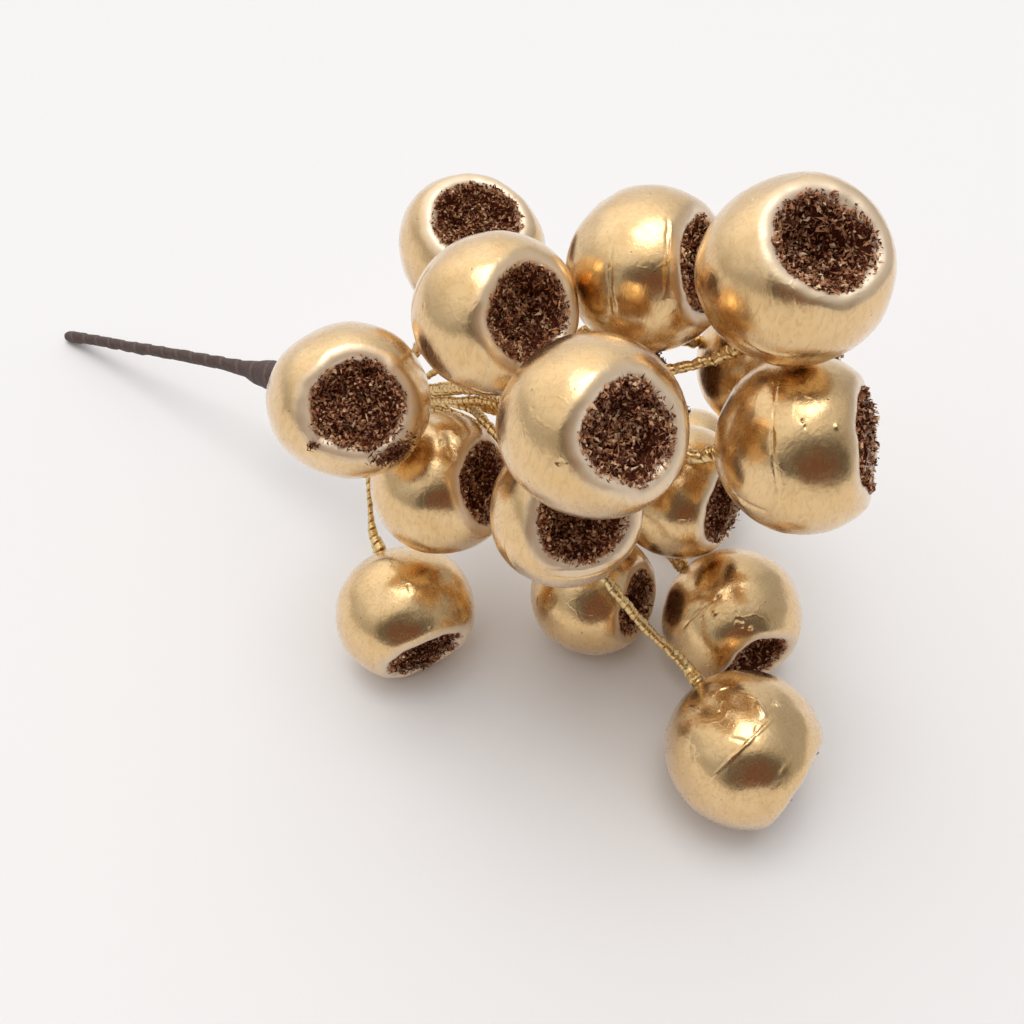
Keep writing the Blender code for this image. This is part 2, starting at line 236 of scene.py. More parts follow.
# Where the fibre meets the skin, in degrees off the mouth's axis: on the usual nut, and every 30 degrees round
# those mouths that the photograph shows best
MOUTH_EDGE = 39.5
MOUTH_OUTLINES = {
    "01": (40.6, 39.2, 39.2, 38.7, 38.2, 40.1, 44.2, 43.7, 43.3, 42.9, 42.4, 42.0),
    "02": (38.2, 38.2, 39.6, 37.1, 33.9, 35.5, 37.1, 39.2, 41.1, 41.1, 40.6, 40.6),
    "03": (41.5, 38.2, 40.1, 38.7, 36.6, 37.1, 38.7, 41.1, 39.2, 41.5, 44.2, 44.2),
    "06": (37.6, 36.6, 38.2, 36.1, 32.7, 33.3, 35.0, 35.0, 36.6, 42.0, 42.0, 40.6),
    "07": (42.9, 42.4, 41.5, 40.6, 39.6, 38.7, 38.7, 39.6, 40.6, 39.2, 40.6, 43.3),
    "10": (41.5, 38.7, 39.2, 40.1, 39.6, 36.1, 33.3, 32.2, 32.2, 35.5, 36.1, 39.6),
}
MOUTH_FADE = (45, 78)
MOUTH_WAVES = ((2, 0.03), (3, 0.03), (4, 0.02))
MOUTH_FINE_WAVES = ((5, 0.012), (7, 0.012), (11, 0.008), (17, 0.005))

# A mark in the skin runs between two directions from the nut's centre (azimuth and elevation in degrees). Its
# depth is negative where it stands up. A pit's two directions are the same
Mark = namedtuple("Mark", "start end width depth")
MARKS = {
    "02": (
        Mark((-150, 45), (-132, -5), 0.3, 0.16), Mark((-86, -36), (-52, -40), 0.22, 0.14),
        Mark((-75, -26), (-56, -33), 0.22, -0.14),
    ),
    "04": (Mark((60, 82), (-22, 62), 0.8, 0.35), Mark((0, 76), (-14, 64), 0.2, -0.2)),
    "06": (Mark((-79, 24), (-82, 20), 0.25, 0.2),),
    "07": (
        Mark((-110, 18), (-100, -18), 0.25, -0.12), Mark((-84, 0), (-16, -2), 0.3, -0.14),
        Mark((-76, -8), (-24, -9), 0.25, 0.16),
    ),
    "09": (
        Mark((-114, 58), (-81, 0), 0.3, 0.1), Mark((-35, 74), (-52, 19), 0.3, 0.1),
        Mark((-31, 70), (-50, 40), 0.22, -0.1),
    ),
    "10": (Mark((-94, -15), (-60, -22), 0.5, -0.2), Mark((-110, -10), (-82, -20), 0.4, 0.2)),
    "11": (
        Mark((-178, 66), (-80, 6), 0.25, 0.1), Mark((-82, 59), (-82, 59), 0.22, 0.25),
        Mark((-77, 56), (-77, 56), 0.2, 0.22), Mark((-42, 57), (-42, 57), 0.35, -0.2),
        Mark((-115, -13), (-84, -8), 0.4, 0.22), Mark((-120, -6), (-100, -16), 0.3, -0.16),
    ),
    "15": (
        Mark((-115, 22), (-109, 55), 0.25, 0.12), Mark((-103, 63), (-103, 63), 0.3, 0.45),
        Mark((-68, 53), (-57, 51), 0.3, 0.2), Mark((-95, 51), (-95, 51), 0.35, -0.25),
        Mark((-50, 46), (-50, 46), 0.35, -0.25), Mark((-104, 43), (-104, 43), 0.3, -0.2),
    ),
    "16": (
        Mark((3, 76), (-102, 6), 0.22, -0.14), Mark((-164, 37), (-153, 51), 0.3, -0.3),
        Mark((-173, 57), (172, 56), 0.3, -0.32), Mark((174, 57), (160, 62), 0.3, -0.32),
        Mark((158, 70), (109, 82), 0.3, -0.32), Mark((-145, 64), (-169, 65), 0.3, -0.32),
        Mark((108, 83), (-19, 80), 0.3, -0.3), Mark((59, 74), (42, 71), 0.3, -0.3),
        Mark((-101, 61), (-75, 64), 0.25, 0.12), Mark((-125, 37), (-113, 31), 0.25, 0.12),
    ),
}

# How far some nuts' fringes stand above or below the usual
FRINGE_LIFT = {"05": -0.35, "11": 0.2, "12": 0.4, "13": 0.35, "15": -0.6, "16": -1.5, "17": 0.4}

# Crumbs that lie outside a mouth: where (azimuth and elevation in degrees), how far they spread, and how many.
# They spread CRUMB_OVAL times as far round as up, and are darker than the shreds inside
SPILLED = {"03": (((-19, -6), 4.5, 420), ((-75, 10), 1.6, 40))}
CRUMB_OVAL = 1.6
CRUMB_LIFT = (-0.1, 0.35)
CRUMB_TILT = (0, 0.4)
CRUMB_TONE = 0.35

# The marks that any nut has at random: pits and short wrinkles, with their width and depth, how far a wrinkle
# runs in azimuth and elevation, and how marks stray from a straight line
PITS_PER_NUT = 9
PIT_WIDTH = (0.14, 0.3)
PIT_DEPTH = (0.08, 0.22)
WRINKLES_PER_NUT = 6
WRINKLE_RUN = (26, 22)
WRINKLE_WIDTH = (0.2, 0.5)
WRINKLE_DEPTH = (-0.09, 0.09)
MARK_STRAY = ((2.5, 0.35), (0.9, 0.12))


def linear(hex_colour):
    """An sRGB hex colour as the linear RGBA that a shader takes."""
    parts = [int(hex_colour[i:i + 2], 16) / 255 for i in (1, 3, 5)]
    return (*(c / 12.92 if c <= 0.04045 else ((c + 0.055) / 1.055) ** 2.4 for c in parts), 1)


def grain(millimetres):
    """The texture scale that gives features of that size."""
    return 1 / (millimetres * MM)


def add_node(tree, kind, inputs=None, **settings):
    """Adds a node. The settings are its properties, and the inputs are values or the sockets that feed it."""
    made = tree.nodes.new(kind)
    for name, value in settings.items():
        setattr(made, name, value)
    for name, value in (inputs or {}).items():
        if isinstance(value, bpy.types.NodeSocket):
            tree.links.new(value, made.inputs[name])
        else:
            made.inputs[name].default_value = value
    return made


def new_material(name, **sockets):
    """A material with one Principled shader, whose sockets are set by name."""
    material = bpy.data.materials.new(name)
    material.use_nodes = True
    tree = material.node_tree
    shader = tree.nodes["Principled BSDF"]
    for socket, value in sockets.items():
        shader.inputs[socket.replace("_", " ")].default_value = value
    return material, tree, shader


def noise_node(tree, place, millimetres, detail, **more):
    """Noise with features of that size."""
    inputs = {"Vector": place, "Scale": grain(millimetres), "Detail": detail, **more}
    return add_node(tree, "ShaderNodeTexNoise", inputs)


def remapped(tree, value, start=0, full=1, to_start=0, to_full=1, **settings):
    """The value with the range from start to full brought onto another range."""
    inputs = {"Value": value, "From Min": start, "From Max": full, "To Min": to_start, "To Max": to_full}
    return add_node(tree, "ShaderNodeMapRange", inputs, **settings).outputs[0]


def blended(tree, share, first, second):
    """A colour that turns from the first into the second, each of them a hex colour or a socket."""
    first, second = (linear(colour) if isinstance(colour, str) else colour for colour in (first, second))
    return add_node(tree, "ShaderNodeMix", {0: share, 6: first, 7: second}, data_type="RGBA").outputs[2]


def bumped(tree, height, strength, millimetres, below=None):
    """A bump, laid over the one below where that is given."""
    inputs = {"Height": height, "Strength": strength, "Distance": millimetres * MM}
    if below is not None:
        inputs["Normal"] = below
    return add_node(tree, "ShaderNodeBump", inputs).outputs[0]


def own_place(tree):
    """The point on the object, in its own coordinates."""
    return add_node(tree, "ShaderNodeTexCoord").outputs["Object"]


def attribute(tree, name):
    """What the mesh holds for the point under that name."""
    return add_node(tree, "ShaderNodeAttribute", attribute_name=name).outputs["Fac"]


def feed(tree, shader, **sockets):
    """Links what is given to the shader's sockets of those names."""
    for socket, source in sockets.items():
        tree.links.new(source, shader.inputs[socket.replace("_", " ")])


def crinkles(tree, place):
    """Fine raised lines between cells, in patches."""
    bent = noise_node(tree, place, 2.5, 2).outputs["Color"]
    wander = add_node(tree, "ShaderNodeVectorMath", {0: bent, 1: (2 * MM, 2 * MM, 2 * MM), 2: place},
                      operation="MULTIPLY_ADD")
    cells = add_node(tree, "ShaderNodeTexVoronoi", {"Vector": wander.outputs[0], "Scale": grain(5)},
                     feature="DISTANCE_TO_EDGE")
    line = remapped(tree, cells.outputs["Distance"], 0, 0.06, 1, 0)
    patch = noise_node(tree, place, 7, 1).outputs["Fac"]
    where = remapped(tree, patch, 0.58, 0.7)
    return add_node(tree, "ShaderNodeMath", {0: line, 1: where}, operation="MULTIPLY").outputs[0]


def champagne_gold_lacquer():
    """Metallic lacquer brushed on a dried capsule: broad soft highlights, faint strokes, pores and specks.

    It turns pale and dull on the rim, where the fibre's dust clings to it.
    """
    material, tree, shader = new_material(
        "champagne_gold_lacquer", Coat_Weight=1.0, Coat_Roughness=0.25, Coat_IOR=1.65)
    place = own_place(tree)
    rim = attribute(tree, "rim")
    cloud = noise_node(tree, place, 5, 3).outputs["Fac"]
    peel = noise_node(tree, place, 2.0, 2).outputs["Fac"]
    drawn_out = add_node(tree, "ShaderNodeMapping", {"Vector": place, "Scale": (1, 1, 0.4)}).outputs[0]
    strokes = noise_node(tree, drawn_out, 1.1, 2, Distortion=1.5).outputs["Fac"]
    pores = add_node(tree, "ShaderNodeTexVoronoi", {"Vector": place, "Scale": grain(3.2)}).outputs["Distance"]
    unpitted = remapped(tree, pores, 0.03, 0.07)

    base = blended(tree, cloud, "#dbb06c", "#eecd98")
    streaked = blended(tree, remapped(tree, strokes, 0.45, 0.7, 0, 0.3), base, "#b98c4c")
    specked = blended(tree, unpitted, "#a07c48", streaked)
    dusted = blended(tree, rim, specked, "#f6e0c2")

    metallic = remapped(tree, rim, to_start=1.0, to_full=0.4)
    rough = remapped(tree, strokes, 0.3, 0.7, 0.2, 0.3)
    rougher = add_node(tree, "ShaderNodeMath", {0: rim, 1: 0.25, 2: rough}, operation="MULTIPLY_ADD")

    low = bumped(tree, peel, 0.5, 0.12)
    brushed = bumped(tree, strokes, 0.5, 0.055, low)
    pitted = bumped(tree, unpitted, 0.4, 0.05, brushed)
    crinkled = bumped(tree, crinkles(tree, place), 0.35, 0.1, pitted)
    feed(tree, shader, Base_Color=dusted, Metallic=metallic, Roughness=rougher.outputs[0], Normal=crinkled)
    return material


def shredded_husk():
    """Dry shredded husk: dark maroon brown in the mass, partly its own colour and partly painted shade between
    the shreds, with copper and pink shreds that catch the light.
    """
    material, tree, shader = new_material("shredded_husk", IOR=1.5, Specular_IOR_Level=0.05)
    tone = attribute(tree, "tone")
    mottle = noise_node(tree, own_place(tree), 1.2, 3).outputs["Fac"]
    dark = blended(tree, mottle, "#300a06", "#5c1e12")
    pale = blended(tree, mottle, "#b8623e", "#ffcc9a")
    # The palest shreds turn near-white: partly gilt from the gold paint, partly painted glints
    painted_glint_and_gilt = remapped(tree, tone, 0.85, 1, 0, 0.8)
    tipped_gilt_and_painted_glint = blended(tree, painted_glint_and_gilt, blended(tree, tone, dark, pale), "#ffe6c0")
    feed(tree, shader, Base_Color=tipped_gilt_and_painted_glint, Roughness=remapped(tree, tone, to_start=0.8, to_full=0.3))
    return material


def gold_thread():
    """Lurex thread wound on wire: bright metallic turns with brown shadow between them."""
    material, tree, shader = new_material("gold_lurex_thread", Metallic=1.0)
    fray = noise_node(tree, own_place(tree), 0.45, 3).outputs["Fac"]
    feed(
        tree, shader,
        Base_Color=blended(tree, attribute(tree, "tone"), "#4a3212", "#e6c68c"),
        Roughness=remapped(tree, fray, 0.3, 0.7, 0.16, 0.4),
        Normal=bumped(tree, fray, 0.6, 0.08),
    )
    return material


def crepe_tape():
    """Waxed crepe paper tape: dull dark brown, with fine creases along it and a paler edge on each turn."""
    material, tree, shader = new_material("waxed_crepe_tape", Roughness=0.62, IOR=1.45)
    along = add_node(tree, "ShaderNodeMapping", {"Vector": own_place(tree), "Scale": (0.25, 1, 1)})
    crepe = noise_node(tree, along.outputs[0], 0.5, 4).outputs["Fac"]
    base = blended(tree, crepe, "#3a2a26", "#5c4840")
    edged = blended(tree, attribute(tree, "tone"), base, "#6e5a50")
    feed(tree, shader, Base_Color=edged, Normal=bumped(tree, crepe, 0.7, 0.12))
    return material


def annealed_steel():
    """Soft drawn wire: dull mottled grey."""
    material, tree, shader = new_material("annealed_steel", Metallic=1.0, Roughness=0.4)
    scale = noise_node(tree, own_place(tree), 0.8, 2).outputs["Fac"]
    feed(tree, shader, Base_Color=blended(tree, scale, "#6e6c69", "#95928d"))
    return material


def place_piece(mesh, material, node):
    """Puts the mesh into the scene as the piece that stands for a node."""
    mesh.materials.append(material)
    mesh.shade_smooth()
    piece = bpy.data.objects.new(mesh.name, mesh)
    bpy.context.scene.collection.objects.link(piece)
    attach(piece, "root")
    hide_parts(node)
    return piece


def add_piece(name, points, faces, tone, material, node):
    """A piece from points in millimetres, with a tone for each of them."""
    mesh = bpy.data.meshes.new(name)
    mesh.from_pydata((np.asarray(points) * MM).tolist(), [], faces)
    mesh.attributes.new("tone", "FLOAT", "POINT").data.foreach_set("value", np.asarray(tone, np.float32))
    return place_piece(mesh, material, node)


def direction(azimuth, elevation):
    """The way that an azimuth and an elevation, in degrees, point."""
    azimuth, elevation = math.radians(azimuth), math.radians(elevation)
    flat = math.cos(elevation)
    return Vector((flat * math.cos(azimuth), flat * math.sin(azimuth), math.sin(elevation)))


def facing(nut):
    """The turn that brings +Z onto the way the nut's mouth faces."""
    return direction(*nut.mouth).to_track_quat("Z", "Y").to_matrix()


def smooth_step(share):
    """Eases from 0 to 1 as the share goes from 0 to 1."""
    share = np.clip(share, 0, 1)
    return share * share * (3 - 2 * share)


def curve_point(before, start, end, after, t):
    """The point at t on a smooth curve from start to end, with the points before and after them."""
    bend_in, bend_out = (end - before) / 2, (after - start) / 2
    square, cube = t * t, t * t * t
    return (
        start * (2 * cube - 3 * square + 1) + bend_in * (cube - 2 * square + t)
        + end * (3 * square - 2 * cube) + bend_out * (cube - square)
    )


def layered_noise(points, layers, seed):
    """Noise at each point, as the sum of layers of (size, height) in millimetres."""
    shift = Vector((seed * 37.1, seed * 11.3, seed * 5.7))
    total = np.zeros(len(points))
    for size, height in layers:
        total += height * np.array([noise.noise(Vector(point) / size + shift) for point in points])
    return total


def skin_outline(nut):
    """The skin's profile as arrays: share of its length, radius and height."""
    points = list(RIM)
    socket = (SOCKET_WIRE_RADIUS + GAP) / nut.radius
    last = math.pi - math.asin((socket + SOCKET_LIP) / BACK_HEIGHT)
    first = math.radians(SPHERE_FROM)
    for step in range(ALONG + 1):
        angle = first + (last - first) * step / ALONG
        reach = 1 if angle < math.pi / 2 else BACK_HEIGHT
        points.append((math.sin(angle), math.cos(angle) * reach))
    points += [(socket, -BACK_HEIGHT + SOCKET_LIP), (socket, SOCKET_DEPTH - BACK_HEIGHT)]
    points = np.array(points)
    steps = np.hypot(*np.diff(points, axis=0).T)
    length = np.concatenate([[0], np.cumsum(steps)])
    return length / length[-1], points[:, 0], points[:, 1]


def round_the_mouth(values, around):
    """A smooth curve through values that are evenly spaced round the mouth."""
    values = np.array(values)
    place = around % math.tau / math.tau * len(values)
    first = np.floor(place).astype(int)
    before, start, end, after = (values[(first + step) % len(values)] for step in (-1, 0, 1, 2))
    return curve_point(before, start, end, after, place - first)


def mouth_wobble(key, around):
    """How much wider the mouth is at each angle round it, as a share."""
    draw = random.Random("mouth " + key)
    waves = MOUTH_FINE_WAVES
    if key in MOUTH_OUTLINES:
        total = round_the_mouth(MOUTH_OUTLINES[key], around) / MOUTH_EDGE - 1
    else:
        total = np.full(len(around), MOUTH_WIDTH.get(key, 1.0) - 1)
        waves = MOUTH_WAVES + MOUTH_FINE_WAVES
    for count, share in waves:
        total += draw.uniform(0.4, 1) * share * np.cos(count * around + draw.uniform(0, math.tau))
    return total


def widened(key, around, reach, level):
    """The profile's points swung out from the mouth's axis, or in, to the mouth's own outline."""
    swing = np.arctan2(reach, level)
    fade = smooth_step((MOUTH_FADE[1] - np.degrees(swing)) / (MOUTH_FADE[1] - MOUTH_FADE[0]))
    length = np.hypot(reach, level)
    swing = swing * (1 + fade * mouth_wobble(key, around))
    return length * np.sin(swing), length * np.cos(swing)


def pressed(key, nut, points):
    """The points with the nut's slightly oval and three-sided section."""
    draw = random.Random("outline " + key)
    oval_turn = draw.uniform(0, math.tau)
    third_turn = draw.uniform(0, math.tau)
    reach = np.hypot(points[:, 0], points[:, 1])
    around = np.arctan2(points[:, 1], points[:, 0])
    share = np.minimum(1, reach / (ROUND_SOCKET * nut.radius))
    stray = OVAL * np.cos(2 * around + oval_turn) + THREE_SIDED * np.cos(3 * around + third_turn)
    scale = 1 + stray * share
    return points * np.stack([scale, scale, np.ones(len(points))], axis=1)


def leaned(nut, points):
    """The points with the nut's back swung towards its wire."""
    back = facing(nut).inverted() @ -direction(*nut.stalk)
    swing = Vector((0, 0, -1)).rotation_difference(back)
    axis, angle = Vector(swing.axis), swing.angle
    below = np.degrees(np.arccos(np.clip(points[:, 2] / np.linalg.norm(points, axis=1), -1, 1)))
    turn = (smooth_step((below - LEAN_START) / (LEAN_END - LEAN_START)) * angle)[:, None]
    axis = np.array(axis)[None, :]
    along = (points @ axis[0])[:, None] * axis
    return points * np.cos(turn) + np.cross(axis, points) * np.sin(turn) + along * (1 - np.cos(turn))


def rolled_skin(key, nut, unrolled):
    """Rolls points of the unrolled skin (round, along) up round the nut's centre."""
    share, radius, height = skin_outline(nut)
    around = unrolled[:, 0] * math.tau
    reach = np.interp(unrolled[:, 1], share, radius)
    level = np.interp(unrolled[:, 1], share, height)
    reach, level = widened(key, around, reach, level)
    points = np.stack([reach * np.cos(around), reach * np.sin(around), level], axis=1) * nut.radius
    points = leaned(nut, pressed(key, nut, points))
    return points @ np.array(facing(nut)).T


def random_marks(key):
    """Pits and short wrinkles anywhere on the nut."""
    draw = random.Random("marks " + key)
    marks = []
    for _ in range(PITS_PER_NUT):
        spot = (draw.uniform(-180, 180), math.degrees(math.asin(draw.uniform(-1, 1))))
        marks.append(Mark(spot, spot, draw.uniform(*PIT_WIDTH), draw.uniform(*PIT_DEPTH)))
    for _ in range(WRINKLES_PER_NUT):
        azimuth = draw.uniform(-180, 180)
        elevation = math.degrees(math.asin(draw.uniform(-1, 1)))
        far_azimuth = azimuth + draw.uniform(-WRINKLE_RUN[0], WRINKLE_RUN[0])
        far_elevation = elevation + draw.uniform(-WRINKLE_RUN[1], WRINKLE_RUN[1])
        far = (far_azimuth, max(-89, min(89, far_elevation)))
        width, depth = draw.uniform(*WRINKLE_WIDTH), draw.uniform(*WRINKLE_DEPTH)
        marks.append(Mark((azimuth, elevation), far, width, depth))
    return marks


def from_mark(mark, ways, radius):
    """For each way out of the centre, how far it passes from the mark and where along the mark that is."""
    start, end = np.array(direction(*mark.start)), np.array(direction(*mark.end))
    across = np.cross(start, end)
    length = np.linalg.norm(across)
    if length < 1e-9:
        return np.linalg.norm(ways - start, axis=1) * radius, np.zeros(len(ways))
    ahead = np.cross(across / length, start)
    arc = math.atan2(length, start @ end)
    turn = np.clip(np.arctan2(ways @ ahead, ways @ start), 0, arc)[:, None]
    nearest = start * np.cos(turn) + ahead * np.sin(turn)
    return np.linalg.norm(ways - nearest, axis=1) * radius, turn[:, 0] / arc


def cut_marks(nut, marks, points):
    """The points moved in or out where the marks are."""
    ways = points / np.linalg.norm(points, axis=1)[:, None]
    depth = np.zeros(len(points))
    stray = layered_noise(points, MARK_STRAY, 3)
    for mark in marks:
        distance, along = from_mark(mark, ways, nut.radius)
        line = mark.start != mark.end
        fade = 1 - (2 * along - 1) ** 4 if line else 1
        distance = np.abs(distance + stray * fade) if line else distance
        depth += mark.depth * fade * np.exp(-((distance / mark.width) ** 2))
    return points - ways * depth[:, None]


def unrolled_skin(key, nut, marks):
    """The unrolled skin as a flat grid, cut finer where the marks are."""
    grid = bmesh.new()
    bmesh.ops.create_grid(grid, x_segments=AROUND, y_segments=ALONG, size=0.5)
    for vertex in grid.verts:
        vertex.co.x += 0.5
        vertex.co.y += 0.5
    faces = list(grid.faces)
    middles = np.array([face.calc_center_median()[:] for face in faces])
    points = rolled_skin(key, nut, middles)
    ways = points / np.linalg.norm(points, axis=1)[:, None]
    chosen = np.zeros(len(faces), bool)
    for mark in marks:
        distance, _ = from_mark(mark, ways, nut.radius)
        chosen |= distance < mark.width * MARK_REACH + MARK_MARGIN
    edges = {edge for face, near in zip(faces, chosen) if near for edge in face.edges}
    bmesh.ops.subdivide_edges(grid, edges=list(edges), cuts=MARK_CUTS, use_grid_fill=True)
    return grid


def make_skin(key, nut, material):
    """The nut's gold skin with its lumps and marks, flat where it lies on the floor."""
    marks = [*MARKS.get(key, ()), *random_marks(key)]
    grid = unrolled_skin(key, nut, marks)
    flat = np.array([vertex.co[:] for vertex in grid.verts])
    points = rolled_skin(key, nut, flat)
    ways = points / np.linalg.norm(points, axis=1)[:, None]
    outside = smooth_step((flat[:, 1] - LUMPS_START) / LUMPS_FADE)
    points += ways * (layered_noise(points, LUMPS, int(key)) * outside)[:, None]
    points = cut_marks(nut, marks, points) + np.array(nut.centre)
    if key in RESTING:
        points[:, 2] = np.maximum(points[:, 2], 0)
    rim = grid.verts.layers.float.new("rim")
    dust = 1 - smooth_step((flat[:, 1] - RIM_DUST[0]) / (RIM_DUST[1] - RIM_DUST[0]))
    for vertex, point, amount in zip(grid.verts, points, dust):
        vertex.co = point * MM
        vertex[rim] = amount
    bmesh.ops.remove_doubles(grid, verts=grid.verts, dist=MERGED_WITHIN * MM)
    bmesh.ops.recalc_face_normals(grid, faces=grid.faces)
    mesh = bpy.data.meshes.new("skin_" + key)
    grid.to_mesh(mesh)
    grid.free()
    place_piece(mesh, material, "nut_" + key)


def bed_level(nut, reach):
    """The height of the fibre's bowl at each share of the radius."""
    share = np.minimum(1, reach / BED_FLAT) ** BED_STEEPNESS
    return BED_TOP - BED_DEEPER * nut.bed_depth * (1 - share)


def bed_points(key, nut, reach, around):
    """Points on the fibre's bowl round the nut's centre, before it is turned to face the mouth's way."""
    wide, level = widened(key, around, reach, bed_level(nut, reach))
    points = np.stack([wide * np.cos(around), wide * np.sin(around), level], axis=1) * nut.radius
    return pressed(key, nut, points)


def clumps(key, points, reach):
    """How far the fibre stands up in clumps, fading towards the skin."""
    fade = smooth_step((CLUMPS_END - reach) / CLUMPS_FADE)
    return layered_noise(points, CLUMPS, int(key) + 20) * fade


def bed_mass(key, nut):
    """The clumped bowl under the shreds, as points, faces and a tone for each point."""
    reach = np.repeat(np.linspace(BED_MIDDLE, BED_EDGE, BED_RINGS), BED_SPOKES)
    around = np.tile(np.arange(BED_SPOKES), BED_RINGS) * math.tau / BED_SPOKES
    points = bed_points(key, nut, reach, around)
    points[:, 2] += clumps(key, points, reach) - BED_SUNK
    faces = [tuple(range(BED_SPOKES))]
    for row in range(BED_RINGS - 1):
        for column in range(BED_SPOKES):
            after = (column + 1) % BED_SPOKES
            start, below = row * BED_SPOKES, (row + 1) * BED_SPOKES
            faces.append((start + column, below + column, below + after, start + after))
    # The mass takes the darkest tone: partly the husk's own maroon, partly painted shade between the shreds
    return points, faces, np.full(len(points), BED_TONE_WITH_PAINTED_SHADE)


def make_bed(key, nut, material):
    """The fibre: a clumped bowl, covered in bent three-sided shreds, with a fringe standing at the rim."""
    points, faces, tone = bed_mass(key, nut)
    for more in [shreds(key, nut), *([spilled_crumbs(key, nut)] if key in SPILLED else [])]:
        faces += [tuple(corner + len(points) for corner in face) for face in more[1]]
        points = np.concatenate([points, more[0]])
        tone = np.concatenate([tone, more[2]])
    points = points @ np.array(facing(nut)).T + np.array(nut.centre)
    points[:, 2] = np.maximum(points[:, 2], FLOOR_LIFT)
    fibre = add_piece("fibre_" + key, points, faces, tone, material, "fibre_bed_" + key)
    fibre.data.shade_flat()


def shreds(key, nut):
    """Bent three-sided shreds on the bowl, as points, faces and a tone for each point."""
    draw = np.random.default_rng(100 + int(key))
    count = SHREDS + FRINGE_SHREDS
    fringe = np.arange(count) >= SHREDS
    edge = draw.uniform(*FRINGE_REACH, count)
    reach = np.where(fringe, edge, SHRED_REACH * np.sqrt(draw.uniform(0, 1, count)))
    around = draw.uniform(0, math.tau, count)
    middle = bed_points(key, nut, reach, around)
    middle[:, 2] += clumps(key, middle, reach) + draw.uniform(*SHRED_LIFT, count)
    middle[:, 2] += np.where(fringe, draw.uniform(*FRINGE_RISE, count) + FRINGE_LIFT.get(key, 0), 0)
    tilt = np.where(fringe, draw.normal(*FRINGE_TILT, count), draw.normal(*SHRED_TILT, count))
    return shred_mesh(draw, middle, tilt)


def spilled_crumbs(key, nut):
    """Crumbs that lie on the skin outside the mouth, as points, faces and a tone for each point."""
    draw = np.random.default_rng(500 + int(key))
    middle = []
    for (azimuth, elevation), spread, count in SPILLED[key]:
        for _ in range(count):
            way = direction(azimuth + draw.normal(0, spread * CRUMB_OVAL), elevation + draw.normal(0, spread))
            middle.append(way * (nut.radius + draw.uniform(*CRUMB_LIFT)))
    middle = np.array(middle) @ np.array(facing(nut))
    points, faces, tone = shred_mesh(draw, middle, draw.normal(*CRUMB_TILT, len(middle)))
    return points, faces, tone * CRUMB_TONE


def shred_mesh(draw, middle, tilt):
    """Shreds bent in the middle and pointed at both ends, as points, faces and a tone for each point."""
    count = len(middle)
    turn = draw.uniform(0, math.tau, count)
    way = np.stack([np.cos(turn) * np.cos(tilt), np.sin(turn) * np.cos(tilt), np.sin(tilt)], axis=1)
    side = np.cross(way, draw.normal(size=(count, 3)))
    side /= np.linalg.norm(side, axis=1)[:, None]
    other = np.cross(way, side)
    half = np.clip(draw.lognormal(*SHRED_HALF, count), *SHRED_HALF_LIMITS)[:, None]
    tone = draw.beta(*SHRED_TONE, count)
    width = (np.clip(draw.lognormal(*SHRED_WIDTH, count), *SHRED_WIDTH_LIMITS) * (1 + tone ** 3))[:, None]
    bend = middle + side * draw.normal(0, SHRED_BEND, count)[:, None] * half
    corners = [
        bend + width * (side * SHRED_FLATNESS * math.cos(angle) + other * math.sin(angle))
        for angle in (0, math.tau / 3, 2 * math.tau / 3)
    ]
    points = np.stack([middle - way * half, *corners, middle + way * half], axis=1)
    shell = [(0, 2, 1), (0, 3, 2), (0, 1, 3), (4, 1, 2), (4, 2, 3), (4, 3, 1)]
    faces = [tuple(5 * shred + corner for corner in face) for shred in range(count) for face in shell]
    return points.reshape(-1, 3), faces, np.repeat(tone, 5)


def smooth_route(points, way_in, way_out, step):
    """Points about a step apart on one smooth curve through the given points, with its ends on the ways."""
    first = points[1] - way_in * 2 * (points[1] - points[0]).length
    last = points[-2] + way_out * 2 * (points[-1] - points[-2]).length
    ends = [first, *points, last]
    route = [points[0]]
    for before, start, end, after in zip(ends, ends[1:], ends[2:], ends[3:]):
        pieces = max(1, round((end - start).length / step))
        route += [curve_point(before, start, end, after, piece / pieces) for piece in range(1, pieces + 1)]
    return route


def bundle_offset(nut):
    """Where the wire lies in the bundle: six round the stem wire, and twelve round those."""
    ring, degrees = nut.place
    reach = ring * BUNDLE_PITCH
    if ring == 2 and degrees % 60:
        reach *= math.cos(math.radians(30))
    turn = math.radians(degrees)
    upward = BUNDLE_WAY.cross(Vector((0, -1, 0)))
    upward = upward if upward.z > 0 else -upward
    return Vector((0, -1, 0)) * reach * math.cos(turn) + upward * reach * math.sin(turn)


def swept(route):
    """An untwisted frame at each point of the route: arrays of the points and of two ways to their sides."""
    points = np.array([point[:] for point in route])
    ways = np.gradient(points, axis=0)
    ways /= np.linalg.norm(ways, axis=1)[:, None]
    side = np.cross(ways[0], (0, 0, 1))
    side /= np.linalg.norm(side)
    rows = []
    for way in ways:
        side = side - way * (side @ way)
        side /= np.linalg.norm(side)
        rows.append(side)
    one = np.array(rows)
    return points, one, np.cross(ways, one)


def ways_out(one, other, around):
    """The ways out of a tube at each point of its route and each angle round it."""
    return one[:, None, :] * np.cos(around)[None, :, None] + other[:, None, :] * np.sin(around)[None, :, None]


def tube_faces(rings, sides):
    """The faces of a tube with closed ends."""
    faces = []
    for ring in range(rings - 1):
        for side in range(sides):
            after = (side + 1) % sides
            start, end = ring * sides, (ring + 1) * sides
            faces.append((start + side, start + after, end + after, end + side))
    faces.append(tuple(range(sides))[::-1])
    faces.append(tuple(range((rings - 1) * sides, rings * sides)))
    return faces


